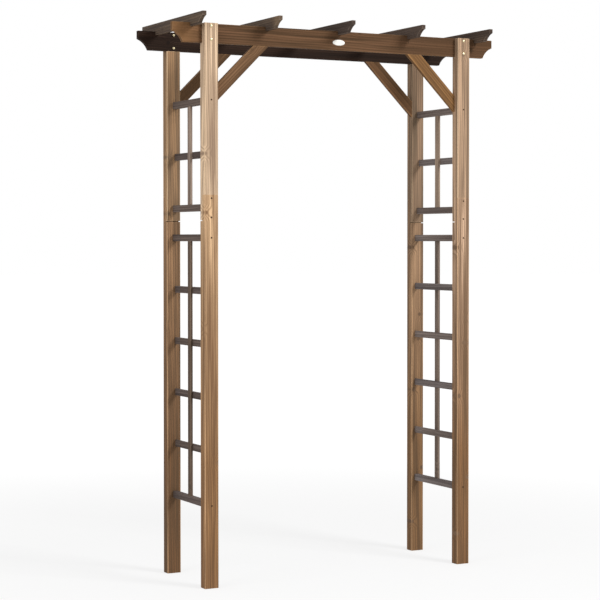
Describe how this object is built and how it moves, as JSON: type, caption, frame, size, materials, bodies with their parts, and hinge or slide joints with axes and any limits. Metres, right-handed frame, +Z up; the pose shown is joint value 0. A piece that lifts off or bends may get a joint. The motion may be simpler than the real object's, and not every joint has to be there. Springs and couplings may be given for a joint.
{
  "type": "wooden garden arbour",
  "caption": "Free-standing stained softwood garden arch: lapped posts, two scroll-ended beams with rafters across, knee braces, and an open trellis on each side.",
  "frame": {"origin": "on the ground, midway between the four feet", "axes": "+X along the beams to the right seen from the front, +Y from front to back, +Z up"},
  "size_m": [1.374, 0.574, 2.1],
  "materials": {
    "post_lower_stain": "planed softwood, brown stain, streaky lengthwise grain",
    "post_upper_stain": "planed softwood, pale honey stain, knots",
    "beam_stain": "planed softwood, dark brown stain",
    "rafter_stain": "planed softwood, grey-brown stain",
    "brace_stain": "planed softwood, brown stain",
    "slat_stain": "planed softwood slats, grey-brown stain",
    "bolt_zinc": "zinc plated domed bolt heads and screw heads",
    "oval_plate": "plain white oval plate with nothing on it"
  },
  "bodies": {
    "root": {"front_left_post_lower": "post_lower_stain", "front_right_post_lower": "post_lower_stain", "back_left_post_lower": "post_lower_stain", "back_right_post_lower": "post_lower_stain", "front_left_post_upper": "post_upper_stain", "front_right_post_upper": "post_upper_stain", "back_left_post_upper": "post_upper_stain", "back_right_post_upper": "post_upper_stain", "front_beam": "beam_stain", "back_beam": "beam_stain", "rafter_1": "rafter_stain", "rafter_2": "rafter_stain", "rafter_3": "rafter_stain", "rafter_4": "rafter_stain", "rafter_5": "rafter_stain", "front_left_brace": "brace_stain", "front_right_brace": "brace_stain", "back_left_brace": "brace_stain", "back_right_brace": "brace_stain", "left_upper_bar": "slat_stain", "left_lower_bar": "slat_stain", "right_upper_bar": "slat_stain", "right_lower_bar": "slat_stain", "left_upper_rung_1": "slat_stain", "left_upper_rung_2": "slat_stain", "left_upper_rung_3": "slat_stain", "right_upper_rung_1": "slat_stain", "right_upper_rung_2": "slat_stain", "right_upper_rung_3": "slat_stain", "left_lower_rung_1": "slat_stain", "left_lower_rung_2": "slat_stain", "left_lower_rung_3": "slat_stain", "left_lower_rung_4": "slat_stain", "left_lower_rung_5": "slat_stain", "left_lower_rung_6": "slat_stain", "right_lower_rung_1": "slat_stain", "right_lower_rung_2": "slat_stain", "right_lower_rung_3": "slat_stain", "right_lower_rung_4": "slat_stain", "right_lower_rung_5": "slat_stain", "right_lower_rung_6": "slat_stain"}
  },
  "joints": []
}
